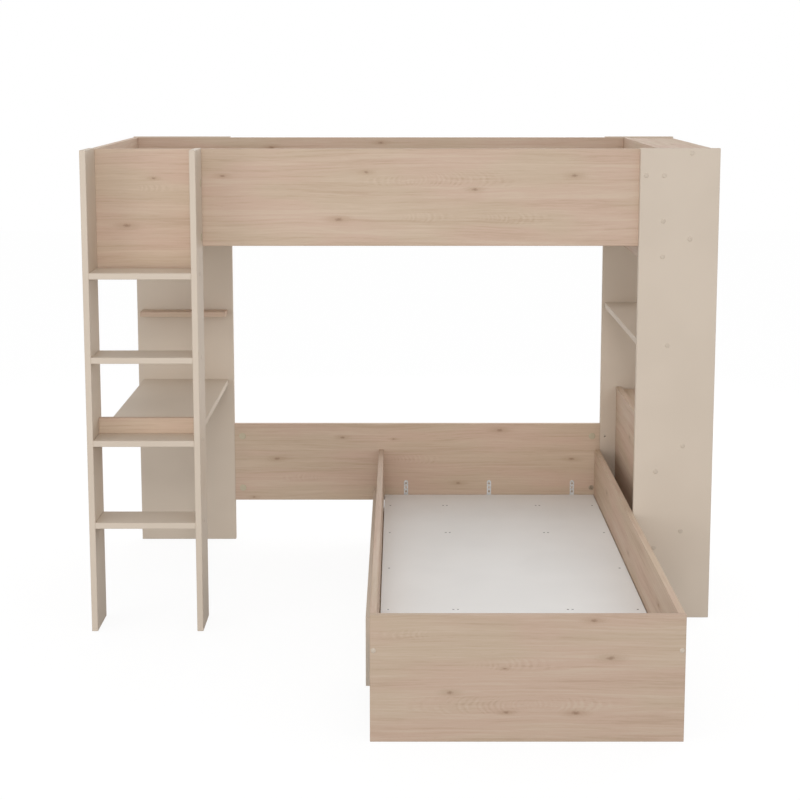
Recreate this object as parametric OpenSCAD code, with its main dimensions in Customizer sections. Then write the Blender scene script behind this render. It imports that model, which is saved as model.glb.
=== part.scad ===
// L-shaped bunk bed: a high bed over a single bed set at right angles,
// with a ladder, a desk and open shelves. Flat-pack boards on cam, dowel and screw joints.
// Units: millimetres. +X to the right, +Y to the wall, +Z up.
// The origin is on the floor, in the middle of the whole bed.

/* [Boards] */
// Thickness of the panels, rails, steps and shelves
board_t = 22; // [18:1:28]
// Thickness of the white mattress bases
base_t = 16; // [12:1:18]
// Bevel on every board edge
edge_bevel = 1; // [0.4:0.2:1.6]

/* [Frame] */
// Height of the tall panels and the ladder rails
panel_h = 1750; // [1650:10:1900]
// Width of the back left panel
back_left_w = 408; // [384:1:500]
// Width of the two right panels
right_panel_w = 287; // [270:1:400]

/* [High bed] */
// Inner length, from end board to end board
upper_l = 2040; // [2020:1:2100]
// Distance from the right panels' inner edge to the right end board
end_inset = 75; // [68:1:90]
// Inner width between the front and back rails
upper_w = 907; // [900:1:960]
// Height of the front and back rails
upper_rail_h = 352; // [320:1:420]
// Height of the end boards and the guard behind the ladder
end_board_h = 453; // [440:1:520]
// Step down from the panel tops to the rail tops
rail_drop = 3; // [1:1:12]

/* [Ladder] */
// Clear width between the ladder rails
ladder_w = 362; // [340:1:362]
// Depth of the ladder rails
ladder_d = 165; // [150:1:200]
// Depth of a step
step_d = 147; // [120:1:150]
// Height of the first step's top
first_step = 407; // [380:1:430]
// Rise from step to step
step_rise = 303; // [280:1:320]

/* [Desk] */
// Height of the stop strip on the desk
strip_h = 58; // [40:1:90]
// Distance from the ladder's front to the stop strip
strip_inset = 115; // [90:1:120]
// Depth of the small shelf over the desk
wall_shelf_d = 70; // [50:1:140]
// Height of the small shelf's top
wall_shelf_top = 1013; // [950:1:1150]

/* [Cabinet] */
// Gap from the shelves to the panels' outer edges
shelf_inset = 5; // [0:1:20]
// Step down from the rail tops to the top shelf
top_shelf_drop = 3; // [1:1:20]
// Height of the niche shelf's top
niche_shelf_top = 1433; // [1420:1:1500]
// Height of the bedside shelf's top
bedside_shelf_top = 1043; // [900:1:1150]
// Depth of the bedside shelf
bedside_shelf_d = 202; // [180:1:240]
// Gap from the bedside shelf to the panels' inner edges
bedside_inset = 10; // [2:1:30]
// Gap from the cabinet's back board to the panels' inner edges
cabinet_inset = 67; // [50:1:90]
// Height of the cabinet's back board
cabinet_board_h = 527; // [500:1:560]
// Height of the back board's top edge
cabinet_board_top = 678; // [640:1:700]
// Lip of the back board over the cabinet's top
cabinet_lip = 10; // [4:1:20]
// Height of the inner shelf's top
inner_shelf_top = 344; // [300:1:400]

/* [Low bed] */
// Inner length, back rail to footboard
low_l = 2028; // [2010:1:2060]
// Inner width between the side rails
low_w = 912; // [905:1:960]
// Height of the footboard and of the rails' top edges
low_h = 400; // [380:1:440]
// Height of a side rail
low_rail_h = 240; // [220:1:260]
// Height of the back rail
low_back_h = 337; // [300:1:360]
// Height of the back rail's lower edge
low_back_z = 176; // [160:1:176]
// Height of the plinth under the left rail
plinth_h = 237; // [225:1:250]
// Length of the plinth
plinth_l = 1577; // [1400:1:1700]
// Gap from the back rail to the plinth
plinth_inset = 44; // [20:1:80]

/* [Mattress bases] */
// Width of the ledgers along the rails
ledger_w = 40; // [36:1:46]
// Width of the battens
batten_w = 58; // [50:1:60]
// Lift of the ledgers above the rails' lower edges
ledger_lift = 2; // [1:1:6]
// Gap round a mattress base
base_gap = 3; // [2.5:0.5:5]
// Distance from the long edge to the outer screws, from the rail
outer_screw = 29; // [24:1:30]
// Distance from the base's centre line to the inner screws
inner_screw = 196; // [150:1:240]
// Distance between the two screws of an inner pair
screw_pair = 16; // [12:1:24]
// Distance of the first batten from the head end
first_batten = 172; // [150:1:200]
// Distance of the last batten from the foot end
last_batten = 144; // [130:1:180]
// Spacing of the rows of screws, counted from the foot end
row_pitch = 442; // [400:1:450]

/* [Brackets] */
// Width of a bracket's leg
bracket_w = 18; // [16:1:20]
// Thickness of the steel plate
plate_t = 1.5; // [1:0.5:2]
// Height of the upright leg
bracket_h = 80; // [70:1:90]
// Length of the level leg
bracket_l = 40; // [30:1:60]
// Distance of the outer brackets from the bed's centre line
bracket_offset = 360; // [300:1:400]
// Height of the lowest screw in the upright leg, over the base's underside
bracket_screw = 30; // [24:1:34]
// Distance from the lowest screw to the highest
bracket_rise = 36; // [24:1:38]
// Distance of the level leg's screw from the end board
level_screw = 28; // [20:1:32]
// Length of a slot between the centres of its round ends
slot_l = 6; // [2:1:10]

/* [Joint places] */
// Height of the lowest screw in an end board's edge
end_screw_1 = 64; // [40:1:90]
// Height of the middle screw
end_screw_2 = 193; // [170:1:230]
// Height of the highest screw
end_screw_3 = 358; // [330:1:400]
// Height of the lower dowel between the screws
edge_dowel_1 = 110; // [100:1:140]
// Height of the upper dowel between the screws
edge_dowel_2 = 290; // [270:1:310]
// Height of the lower end cam over the rail's lower edge
end_cam_low = 65; // [60:1:75]
// Distance of the upper end cam from the rail's top edge
end_cam_top = 76; // [70:1:84]
// Distance of a rail's dowels from its edges
rail_dowel_in = 115; // [108:1:124]
// Height of the ladder's lower cam over the rail's lower edge
ladder_cam_low = 35; // [30:1:60]
// Height of the ladder's upper cam
ladder_cam_high = 230; // [220:1:232]
// Distance of a screw from a shelf's inner edge
shelf_screw = 87; // [70:1:110]
// Distance of a screw or spare hole from a panel's inner edge
rail_screw = 21.4; // [20:0.2:26]
// Distance of the low back rail's cams from its edges
low_cam_in = 54; // [46:1:60]
// Distance of a bed bolt from the low bed's top edge
bed_bolt_drop = 110; // [100:1:120]
// Distance of a dowel from the screw or bolt beside it
dowel_gap = 45; // [40:1:50]
// Height of the lower seam plate over the rail's lower edge
seam_low = 125; // [100:1:150]
// Height of the upper seam plate
seam_high = 275; // [255:1:300]

/* [Fittings] */
// Diameter of a cam housing
cam_d = 22; // [20:1:25]
// Depth of a cam housing
cam_h = 16; // [15:0.5:17]
// Distance from a cam's centre to the joint
cam_reach = 34; // [30:1:40]
// Diameter of a cam cover
cover_d = 28; // [26:1:32]
// Diameter of a cover cap
cap_d = 17; // [13:0.5:18]
// Thickness of caps and covers
cap_t = 2; // [1.2:0.2:2.4]
// Length of a panel screw
panel_screw_l = 50; // [46:1:60]
// Length of a short screw through two boards
short_screw_l = 34; // [32:1:38]
// Diameter of a dowel
dowel_d = 8; // [6:1:8]
// Length of a dowel in the edge of a board
dowel_edge = 20; // [15:1:25]
// Length of a dowel in the face of a board
dowel_face = 10; // [8:1:12]
// Diameter of a bed bolt
bolt_d = 6; // [5:0.5:7]
// Length of a bed bolt
bolt_l = 70; // [66:1:80]
// Distance from a rail's end to its barrel nut
nut_reach = 38; // [35:1:45]
// Running clearance of a fitting in its hole, on the radius
fit = 0.1; // [0.05:0.05:0.2]

/* [Hidden] */
$fn = 32;
eps = 0.01;

// Stations along X
bay_w = board_t + upper_l - end_inset - back_left_w;    // between the two back panels
frame_w = back_left_w + bay_w + right_panel_w;
x_left = (cap_t - frame_w)/2;               // outer face of the ladder and the left end
x_bay_l = x_left + back_left_w;
x_bay_r = x_bay_l + bay_w;                  // inner edges of the right panels
x_right = x_bay_r + right_panel_w;
x_step = x_left + board_t;                  // left end of the steps and the desk
x_step_r = x_step + ladder_w;
x_end = x_left + board_t + upper_l;         // inner face of the right end board
x_cab = x_bay_r + cabinet_inset;
x_low_r = x_bay_r - board_t;                // inner face of the right rail
x_low_l = x_low_r - low_w;                  // inner face of the left rail
x_low_mid = (x_low_l + x_low_r)/2;

// Stations along Y
frame_d = low_l + 2*board_t;
y_wall = (frame_d + cap_t)/2;               // back of the back panels
y_panel = y_wall - board_t;                 // front of the back panels
y_back = y_panel - board_t;                 // front of the upper back rail
y_rail = y_back - upper_w;                  // back of the upper front rail
y_front = y_rail - board_t;                 // front of the upper front rail
y_ladder = y_front - ladder_d;
y_step = y_ladder + step_d;
y_foot = y_panel - low_l;                   // inner face of the footboard
y_upper_mid = (y_back + y_rail)/2;

// Heights
rail_top = panel_h - rail_drop;
z_upper = rail_top - upper_rail_h;
z_end = rail_top - end_board_h;
z_upper_ledger = z_upper + ledger_lift;
z_upper_base = z_upper_ledger + board_t;
z_low = low_h - low_rail_h;
z_low_ledger = z_low + ledger_lift;
z_low_base = z_low_ledger + board_t;
step_tops = [for (i = [0:3]) first_step + i*step_rise];
desk_z = step_tops[1];
top_shelf_top = rail_top - top_shelf_drop;
low_top = cabinet_board_top - cabinet_lip;

// A board is a box: its lowest and its highest corner
function box_at(x, y, z, w, d, h) = [[x, y, z], [x + w, y + d, z + h]];
function shelf_at(x, w, top) = box_at(x, y_front, top - board_t, w, y_panel - y_front, board_t);
function step_at(top) = box_at(x_step, y_ladder, top - board_t, ladder_w, step_d, board_t);
function ladder_rail_at(x) = box_at(x, y_ladder, 0, board_t, ladder_d, panel_h);
function side_rail_at(x) = box_at(x, y_foot, z_low, board_t, low_l, low_rail_h);

back_left_box = box_at(x_left, y_panel, 0, back_left_w, board_t, panel_h);
back_right_box = box_at(x_bay_r, y_panel, 0, right_panel_w, board_t, panel_h);
front_right_box = box_at(x_bay_r, y_front - board_t, 0, right_panel_w, board_t, panel_h);
desk_box = box_at(x_step, y_ladder, desk_z - board_t, ladder_w, y_panel - y_ladder, board_t);
strip_box = box_at(x_step, y_ladder + strip_inset, desk_z, ladder_w, board_t, strip_h);
wall_shelf_box = box_at(x_step, y_panel - wall_shelf_d, wall_shelf_top - board_t,
                        ladder_w, wall_shelf_d, board_t);
guard_box = box_at(x_left, y_front, z_end, board_t + ladder_w, board_t, end_board_h);
front_rail_box = box_at(x_step_r, y_front, z_upper, x_end - x_step_r, board_t, upper_rail_h);
back_rail_box = box_at(x_step, y_back, z_upper, upper_l, board_t, upper_rail_h);
left_end_box = box_at(x_left, y_rail, z_end, board_t, y_panel - y_rail, end_board_h);
right_end_box = box_at(x_end, y_front, z_end, board_t, y_panel - y_front, end_board_h);

upper_shelf_x = x_end + board_t;
upper_shelf_w = x_right - shelf_inset - upper_shelf_x;
cabinet_x = x_cab + board_t;
cabinet_w = x_right - shelf_inset - cabinet_x;
cabinet_board_box = box_at(x_cab, y_front, cabinet_board_top - cabinet_board_h,
                           board_t, y_panel - y_front, cabinet_board_h);

low_back_box = box_at(x_bay_l, y_panel, low_back_z, bay_w, board_t, low_back_h);
foot_box = box_at(x_low_l - board_t, y_foot - board_t, 0, low_w + 2*board_t, board_t, low_h);
plinth_box = box_at(x_low_l - 2*board_t, y_panel - plinth_inset - plinth_l, 0,
                    board_t, plinth_l, plinth_h);

// Both mattress bases use one layout, along the bed and across it. A bed is
// [origin of its inner corner, length, width, "x" or "y" for its long side, base height]
low_bed = [[x_low_l, y_panel, z_low_base], low_l, low_w, "y"];
high_bed = [[x_step, y_rail, z_upper_base], upper_l, upper_w, "x"];
// A point u along the bed from its head end, v across it and w above the ledgers
function on_bed(bed, u, v, w) = bed[3] == "x" ? bed[0] + [u, v, w] : bed[0] + [v, -u, w];
function bed_box(bed, u, v, w, du, dv, dw) =
    let (a = on_bed(bed, u, v, w), b = on_bed(bed, u + du, v + dv, w + dw))
    [[min(a.x, b.x), min(a.y, b.y), min(a.z, b.z)], [max(a.x, b.x), max(a.y, b.y), max(a.z, b.z)]];
function rows(bed) = concat([first_batten], [for (i = [3:-1:0]) bed[1] - last_batten - i*row_pitch]);
ledger_start = first_batten + batten_w/2 + base_gap;
ledger_stop = last_batten + batten_w/2 + base_gap;
function ledger_l(bed) = bed[1] - ledger_start - ledger_stop;
function ledger_box(bed, far) = bed_box(bed, ledger_start, far ? bed[2] - ledger_w : 0, -board_t,
                                        ledger_l(bed), ledger_w, board_t);
// Battens 0 and 3 reach from rail to rail, 1 and 2 lie between the ledgers
function batten_row(bed, i) = rows(bed)[[0, 1, 3, 4][i]];
function batten_side(i) = (i == 0 || i == 3 ? 0 : ledger_w) + 1;
function batten_box(bed, i) = bed_box(bed, batten_row(bed, i) - batten_w/2, batten_side(i),
                                      -board_t, batten_w, bed[2] - 2*batten_side(i), board_t);
function base_box(bed) = bed_box(bed, base_gap, base_gap, 0, bed[1] - 2*base_gap,
                                 bed[2] - 2*base_gap, base_t);

// A fitting is [point on the board's face, direction it is driven in]
X = [1, 0, 0];
Y = [0, 1, 0];
Z = [0, 0, 1];

// Heights and places of the fittings
end_screw_z = [z_end + end_screw_1, z_end + end_screw_2, z_end + end_screw_3];
end_cam_z = [z_upper + end_cam_low, rail_top - end_cam_top];
ladder_cam_z = [z_upper + ladder_cam_low, z_upper + ladder_cam_high];
rail_dowel_z = [z_upper + rail_dowel_in, rail_top - rail_dowel_in];
edge_dowel_z = [z_end + edge_dowel_1, z_end + edge_dowel_2];
low_cam_z = [low_back_z + low_cam_in, low_back_z + low_back_h - low_cam_in];
bed_bolt_z = low_h - bed_bolt_drop;
step_mid = y_ladder + step_d/2;
// Shares of a board's length or width, counted from either end
shelf_end = 0.15;                           // a shelf's two dowels
desk_end = 0.08;                            // the desk's dowels
plinth_end = 0.08;                          // the plinth's first screw
desk_screw = 0.2;                           // the desk's screws
board_dowel = 0.08;                         // the cabinet board's dowels
board_screw = 0.225;                        // the cabinet board's screws
low_dowel = 0.25;                           // the low back rail's dowels
ledger_first = 0.04;                        // a ledger's first screw
plinth_screws = 4;
ledger_screw_n = 5;
// Point i of n, spread evenly from share a to share 1 - a
function spread(a, i, n) = a + (1 - 2*a)*i/(n - 1);

// Screws that join the right panels to what stands between them, as [x, z]
cabinet_joints = concat(
    [for (z = end_screw_z) [x_end + board_t/2, z]],
    [[upper_shelf_x + shelf_screw, top_shelf_top - board_t/2],
     [upper_shelf_x + shelf_screw, niche_shelf_top - board_t/2],
     [x_bay_r + bedside_inset + bedside_shelf_d/2, bedside_shelf_top - board_t/2],
     [cabinet_x + shelf_screw, low_top - board_t/2],
     [cabinet_x + shelf_screw, inner_shelf_top - board_t/2]],
    [for (share = [board_screw, 1 - board_screw]) [x_cab + board_t/2, cabinet_board_top - share*cabinet_board_h]]);

front_screws = [for (j = cabinet_joints) [[j[0], y_front - board_t, j[1]], Y]];
step_screws = [for (top = step_tops) for (side = [0, 1])
    side == 0 ? [[x_left, step_mid, top - board_t/2], X]
              : [[x_step_r + board_t, step_mid, top - board_t/2], -X]];
back_screws = concat(
    [for (j = cabinet_joints) [[j[0], y_wall, j[1]], -Y]],
    [for (z = end_screw_z) [[x_left + board_t/2, y_wall, z], -Y]],
    [for (z = [desk_z, wall_shelf_top]) for (share = [desk_screw, 1 - desk_screw])
        [[x_step + share*ladder_w, y_wall, z - board_t/2], -Y]]);
panel_screw_list = concat(front_screws, step_screws, back_screws);

short_front = [[[x_bay_r + rail_screw, y_front - board_t, end_screw_z[2]], Y]];
short_back = [for (x = [x_left + shelf_screw, x_bay_l - rail_screw, x_bay_r + rail_screw])
    for (z = [end_screw_z[1], end_screw_z[2]]) [[x, y_wall, z], -Y]];
short_plinth = [for (i = [0:plinth_screws - 1])
    [[x_low_l - 2*board_t, y_panel - plinth_inset - plinth_l*spread(plinth_end, i, plinth_screws), (z_low + plinth_h)/2], X]];
short_screw_list = concat(short_front, short_back, short_plinth);

// Cams: [centre on the board's face, into the board, towards the joint]
cam_list = concat(
    [for (z = low_cam_z) [[x_bay_l + cam_reach, y_panel, z], Y, -X]],
    [for (z = low_cam_z) [[x_bay_r - cam_reach, y_panel, z], Y, X]],
    [for (z = ladder_cam_z) [[x_left, y_front - cam_reach, z], X, Y]],
    [for (z = ladder_cam_z) [[x_step_r + board_t, y_front - cam_reach, z], -X, Y]],
    [for (z = end_cam_z) [[x_step, y_rail + cam_reach, z], -X, -Y]],
    [for (z = end_cam_z) [[x_step + cam_reach, y_back, z], Y, -X]],
    [for (z = end_cam_z) [[x_end - cam_reach, y_back, z], Y, X]],
    [for (z = end_cam_z) [[x_end - cam_reach, y_rail, z], -Y, X]]);
// The back rail's lower right cam stands too close to the side rail for a cover
cover_list = [for (i = [0:len(cam_list) - 1]) if (i != 2 && i < 8) cam_list[i]];

// Dowels: [point on the joint, from the face into the edge]
dowel_list = concat(
    [for (top = step_tops) for (y = [-dowel_gap, dowel_gap]) [[x_step, step_mid + y, top - board_t/2], X]],
    [for (top = step_tops) for (y = [-dowel_gap, dowel_gap]) [[x_step_r, step_mid + y, top - board_t/2], -X]],
    [for (z = [desk_z, wall_shelf_top]) for (share = [desk_end, 1 - desk_end])
        [[x_step + share*ladder_w, y_panel, z - board_t/2], -Y]],
    [for (share = [shelf_end, 1 - shelf_end]) [[x_step + share*ladder_w, y_ladder + strip_inset + board_t/2, desk_z], Z]],
    [for (s = [[upper_shelf_x, upper_shelf_w, top_shelf_top], [upper_shelf_x, upper_shelf_w, niche_shelf_top],
               [x_bay_r + bedside_inset, bedside_shelf_d, bedside_shelf_top],
               [cabinet_x, cabinet_w, low_top], [cabinet_x, cabinet_w, inner_shelf_top]])
        for (share = [shelf_end, 1 - shelf_end]) for (back = [0, 1])
            [[s[0] + share*s[1], back == 1 ? y_panel : y_front, s[2] - board_t/2], back == 1 ? -Y : Y]],
    [for (z = edge_dowel_z) for (back = [0, 1])
        [[x_end + board_t/2, back == 1 ? y_panel : y_front, z], back == 1 ? -Y : Y]],
    [for (z = edge_dowel_z) [[x_left + board_t/2, y_panel, z], -Y]],
    [for (z = rail_dowel_z) [[x_left + board_t/2, y_rail, z], Y]],
    [for (z = rail_dowel_z) for (y = [y_back + board_t/2, y_rail - board_t/2]) [[x_end, y, z], -X]],
    [for (z = rail_dowel_z) [[x_step, y_back + board_t/2, z], X]],
    [for (share = [board_dowel, 1 - board_dowel]) for (back = [0, 1])
        [[x_cab + board_t/2, back == 1 ? y_panel : y_front, cabinet_board_top - share*cabinet_board_h],
         back == 1 ? -Y : Y]],
    [for (share = [low_dowel, 1 - low_dowel]) [[x_bay_l, y_panel + board_t/2, low_back_z + share*low_back_h], X]],
    [for (share = [low_dowel, 1 - low_dowel]) [[x_bay_r, y_panel + board_t/2, low_back_z + share*low_back_h], -X]],
    [for (x = [x_low_l - board_t/2, x_low_r + board_t/2]) for (dz = [-dowel_gap, dowel_gap])
        [[x, y_foot, bed_bolt_z + dz], Y]],
    [for (x = [x_low_l - board_t/2, x_low_r + board_t/2]) for (dz = [-dowel_gap, dowel_gap])
        [[x, y_panel, bed_bolt_z + dz], -Y]]);

// Bed bolts: [point on the outer face, direction, way to the rail's inner face]
bolt_list = concat(
    [for (side = [0, 1]) [[side == 0 ? x_low_l - board_t/2 : x_low_r + board_t/2, y_foot - board_t, bed_bolt_z],
                          Y, side == 0 ? X : -X]],
    [for (side = [0, 1]) [[side == 0 ? x_low_l - board_t/2 : x_low_r + board_t/2, y_wall, bed_bolt_z],
                          -Y, side == 0 ? X : -X]]);

// Screws down through a base, and from a ledger into its rail
function base_screws_of(bed) = concat(
    [for (u = rows(bed)) for (v = [outer_screw, bed[2] - outer_screw]) [on_bed(bed, u, v, base_t), -Z]],
    [for (i = [0:3]) for (v = [-inner_screw, inner_screw]) for (half = [-screw_pair/2, screw_pair/2])
        [on_bed(bed, batten_row(bed, i), bed[2]/2 + v + half, base_t), -Z]]);
base_screw_list = concat(base_screws_of(low_bed), base_screws_of(high_bed));
ledger_across = [[low_bed, X], [high_bed, Y]];
ledger_screw_list = [for (b = ledger_across) for (far = [0, 1]) for (i = [0:ledger_screw_n - 1])
    [on_bed(b[0], ledger_start + ledger_l(b[0])*spread(ledger_first, i, ledger_screw_n),
            far == 1 ? b[0][2] - ledger_w : ledger_w, -board_t/2), far == 1 ? b[1] : -b[1]]];

// Brackets: [point on the end board at the base's underside, away from the board]
bracket_list = concat(
    [for (i = [-1:1]) for (n = [-Y, Y])
        [[x_low_mid + i*bracket_offset, n == Y ? y_foot : y_panel, z_low_base], n]],
    [for (i = [-1:1]) for (n = [-X, X])
        [[n == X ? x_step : x_end, y_upper_mid + i*bracket_offset, z_upper_base], n]]);
bracket_screw_list = concat(
    [for (b = bracket_list) for (rise = [0, bracket_rise]) [b[0] + b[1]*plate_t + Z*(bracket_screw + rise), -b[1]]],
    [for (b = bracket_list) [b[0] + b[1]*level_screw - Z*plate_t, Z]]);

// Flat plates behind the seam between the guard and the front rail
seam_plate = [90, plate_t, 30];
seam_screw_out = 32;
seam_screw_in = 14;
seam_plate_list = [for (z = [seam_low, seam_high]) [x_step_r, y_rail, z_upper + z]];
seam_screw_list = [for (p = seam_plate_list) for (x = [-seam_screw_out, -seam_screw_in, seam_screw_in, seam_screw_out])
    [p + [x, plate_t, 0], -Y]];

// Puts a shape's +Z along n and its +X along u, at p
module set_on(p, n, u) {
    v = cross(n, u);
    multmatrix([[u.x, v.x, n.x, p.x], [u.y, v.y, n.y, p.y], [u.z, v.z, n.z, p.z], [0, 0, 0, 1]])
        children();
}
function square_to(n) = abs(n.z) > 0.5 ? X : Z;
module set_each(list) for (f = list) set_on(f[0], f[1], len(f) > 2 ? f[2] : square_to(f[1])) children();

// Rod of stacked lengths, each [height, radius at its start, radius at its end]
function stack_up(parts, i = 0, z = 0) = i == len(parts) ? [[0, z]]
    : concat([[parts[i][1], z], [parts[i][2], z + parts[i][0]]], stack_up(parts, i + 1, z + parts[i][0]));
module turned(parts) rotate_extrude() polygon(concat([[0, 0]], stack_up(parts)));

// Screws. The panel screw has a flat head, a smooth shank and a core.
head_r = 5;
head_h = 3;
head_sink = 0.5;
shank_r = 3.5;
core_r = 2.5;
key_r = 2.3;
tip_l = 3;
tip_r = 0.4;
module long_screw(l) difference() {
    translate([0, 0, head_sink]) turned([
        [head_h, head_r, head_r],
        [board_t - head_h - head_sink, shank_r, shank_r],
        [l - board_t - tip_l, core_r, core_r],
        [tip_l, core_r, tip_r]]);
    translate([0, 0, head_sink - eps]) cylinder(r = key_r, h = 2.2, $fn = 6);
}
module long_hole(l) {
    translate([0, 0, -eps]) cylinder(r = head_r + fit, h = head_sink + head_h + eps);
    cylinder(r = shank_r + fit, h = board_t + eps);
    cylinder(r = core_r + fit, h = l + 2);
}
// Domed cap on the board's face, with a stub that holds it in a recess
module cover_cap(r, stub_r, stub_l) {
    translate([0, 0, -cap_t]) turned([[0.2*cap_t, r - 1.5*cap_t, r - 0.85*cap_t],
        [0.3*cap_t, r - 0.85*cap_t, r - 0.3*cap_t], [0.5*cap_t, r - 0.3*cap_t, r]]);
    translate([0, 0, -eps]) cylinder(r = stub_r, h = stub_l);
}

// Two crossed slots for a driver
module driver_cross(l, w, deep) for (a = [45, 135]) rotate(a) translate([-l/2, -w/2, -eps]) cube([l, w, deep]);

// Small countersunk screw with a cross in its head, sunk in the first board
small_r = 2;
small_head_r = 4;
small_head_h = 2.4;
small_cross = [4.4, 1, 1.7];
module small_screw(l) difference() {
    turned([[small_head_h, small_head_r, small_r], [l - small_head_h - tip_l, small_r, small_r], [tip_l, small_r, tip_r]]);
    driver_cross(small_cross.x, small_cross.y, small_cross.z);
}
module small_hole(l) {
    translate([0, 0, -eps]) cylinder(r1 = small_head_r + fit, r2 = small_r + fit, h = small_head_h + eps);
    cylinder(r = small_r + fit, h = l + 1);
}
// Pan head screw for the steel plates, which it clamps
pan_r = 4;
pan_h = 2;
module pan_screw(l) translate([0, 0, -pan_h]) difference() {
    turned([[pan_h/2, pan_r - 1, pan_r], [pan_h/2, pan_r, pan_r], [l - tip_l, small_r, small_r], [tip_l, small_r, tip_r]]);
    driver_cross(small_cross.x, small_cross.y, small_cross.z);
}
module pan_hole(l) cylinder(r = small_r + fit, h = l + 1);
base_screw_l = base_t + 14;
ledger_screw_l = ledger_w + 14;
plate_screw_l = 14;

// Cam fitting. The bolt's head sits in an eye at the middle of the housing;
// turning the housing draws the head in through the curved slot in its wall.
neck_r = 2.5;
bolt_head_r = 3.7;
bolt_head_l = 5;
thread_r = 3;
thread_l = 12;
bolt_bore_r = 4;
eye_r = 6;
cam_recess_d = 13.6;
cam_cross = [8, 1.4, 4];
module cam_housing() difference() {
    cylinder(d = cam_d, h = cam_h);
    // eye for the bolt's head
    translate([0, 0, board_t/2 - bolt_head_r - 0.3]) cylinder(r = eye_r, h = 2*bolt_head_r + 0.6);
    // mouth where the head enters
    translate([0, 0, board_t/2]) rotate([0, 90, 0]) cylinder(r = bolt_head_r + 0.3, h = cam_d);
    // curved slot for the neck
    translate([0, 0, board_t/2 - neck_r - 0.3]) intersection() {
        cylinder(r = cam_d, h = 2*neck_r + 0.6);
        linear_extrude(2*neck_r + 0.6) polygon([[0, 0], [cam_d, 0], [cam_d, cam_d], [-cam_d/2, cam_d]]);
    }
    // round recess and cross for the driver
    translate([0, 0, -eps]) cylinder(d = cam_recess_d, h = 1.2);
    driver_cross(cam_cross.x, cam_cross.y, cam_cross.z);
}
module cam_bolt() translate([cam_reach + thread_l, 0, board_t/2]) rotate([0, -90, 0]) turned([
    [2, 1.5, thread_r], [thread_l - 2, thread_r, thread_r], [2, bolt_bore_r - fit, bolt_bore_r - fit],
    [cam_reach - 2 - bolt_head_l/2, neck_r, neck_r],
    [1, neck_r, bolt_head_r], [bolt_head_l - 2, bolt_head_r, bolt_head_r], [1, bolt_head_r, neck_r]]);
module cam_hole() {
    translate([0, 0, -eps]) cylinder(r = cam_d/2 + fit, h = cam_h + eps);
    translate([0, 0, board_t/2]) rotate([0, 90, 0]) {
        cylinder(r = bolt_bore_r, h = cam_reach + eps);
        cylinder(r = thread_r + fit, h = cam_reach + thread_l + 1);
    }
}

// Dowel with bevelled ends. It lies in the face board behind the joint and in the edge before it.
module dowel() translate([0, 0, -dowel_face]) turned([[1, dowel_d/2 - 1, dowel_d/2],
    [dowel_face + dowel_edge - 2, dowel_d/2, dowel_d/2], [1, dowel_d/2, dowel_d/2 - 1]]);
module dowel_hole() translate([0, 0, -dowel_face - 1])
    cylinder(r = dowel_d/2 + fit, h = dowel_face + dowel_edge + 2);

// Bed bolt and its barrel nut
bolt_seat = 5;
bolt_head = [6.5, 4];
barrel = [5, 16];
module bed_bolt() translate([0, 0, bolt_seat - bolt_head[1]]) difference() {
    turned([[bolt_head[1], bolt_head[0], bolt_head[0]], [bolt_l - 2, bolt_d/2, bolt_d/2],
            [2, bolt_d/2, bolt_d/2 - 1]]);
    translate([0, 0, -eps]) cylinder(r = 2.9, h = 2.5, $fn = 6);
}
module barrel_nut() translate([0, 0, board_t + nut_reach]) difference() {
    rotate([0, 90, 0]) translate([0, 0, -barrel[1]/2]) cylinder(r = barrel[0], h = barrel[1]);
    translate([0, 0, -barrel[0] - 1]) cylinder(r = bolt_d/2 + fit, h = 2*barrel[0] + 2);
    translate([barrel[1]/2 - 1.5, -0.8, -barrel[0]]) cube([2, 1.6, 2*barrel[0]]);
}
module bolt_hole() {
    translate([0, 0, -eps]) cylinder(r = bolt_head[0] + fit, h = bolt_seat + eps);
    cylinder(r = bolt_d/2 + 0.4, h = bolt_seat + bolt_l + 2);
    translate([-barrel[1]/2 - fit, 0, board_t + nut_reach]) rotate([0, 90, 0])
        cylinder(r = barrel[0] + fit, h = barrel[1]/2 + fit + board_t);
}

// Does the stretch from a to b come into the box?
function between(a, b, lo, hi) = max(a, b) > lo - 1 && min(a, b) < hi + 1;
function meets(box, a, b) = between(a.x, b.x, box[0].x, box[1].x) && between(a.y, b.y, box[0].y, box[1].y)
    && between(a.z, b.z, box[0].z, box[1].z);
function near(box, list, back, ahead) =
    [for (f = list) if (meets(box, f[0] - f[1]*back, f[0] + f[1]*ahead)) f];
function near_cams(box) = [for (f = cam_list)
    let (axis = f[0] + f[1]*board_t/2) if (meets(box, axis, axis + f[2]*(cam_reach + thread_l))) f];

// A box whose edges are all bevelled
module bevelled(box) {
    s = box[1] - box[0];
    c = edge_bevel;
    module across(w, h, l) linear_extrude(l)
        polygon([[c, 0], [w - c, 0], [w, c], [w, h - c], [w - c, h], [c, h], [0, h - c], [0, c]]);
    translate(box[0]) intersection() {
        across(s.x, s.y, s.z);
        translate([0, s.y, 0]) rotate([90, 0, 0]) across(s.x, s.z, s.y);
        rotate([90, 0, 90]) across(s.y, s.z, s.x);
    }
}

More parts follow.
